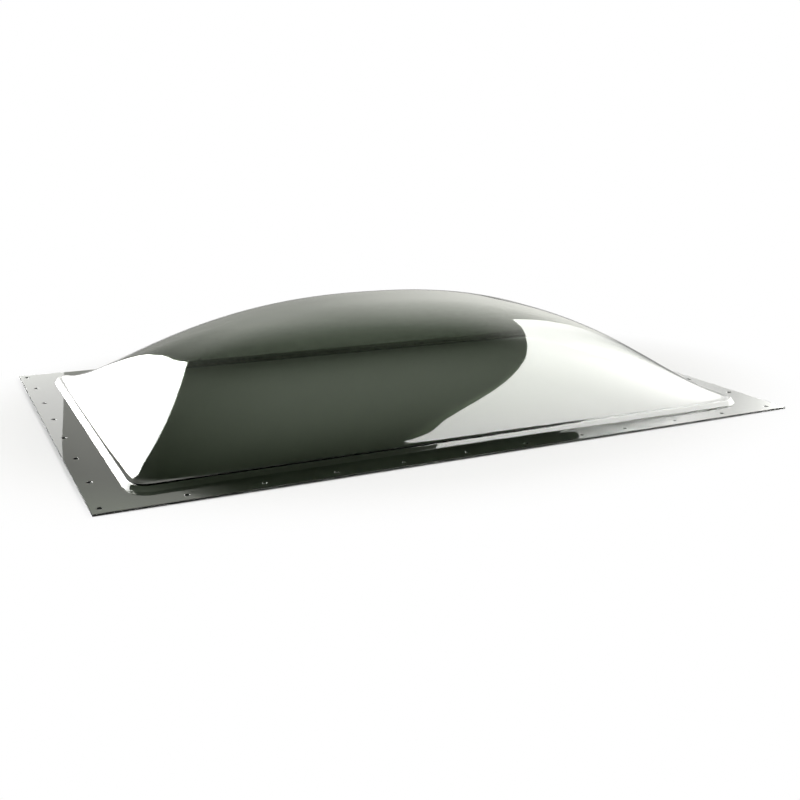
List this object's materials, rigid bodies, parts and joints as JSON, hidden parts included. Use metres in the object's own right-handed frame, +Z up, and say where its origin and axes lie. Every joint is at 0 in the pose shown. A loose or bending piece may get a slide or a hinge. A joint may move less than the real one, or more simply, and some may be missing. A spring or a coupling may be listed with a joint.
{
  "type": "roof skylight",
  "caption": "One-piece smoke-tinted plastic roof skylight: a pillow-shaped blown dome on a low step, with a flat drilled flange that is screwed over a roof opening.",
  "frame": {"origin": "centre of the flange's underside, on the roof", "axes": "+X along the length, +Y across the width towards the back, +Z up through the crown"},
  "size_m": [0.838, 0.528, 0.1262],
  "materials": {
    "smoked_plastic": "polished smoke-tinted transparent sheet"
  },
  "bodies": {
    "root": {"skylight": "smoked_plastic"}
  },
  "joints": []
}
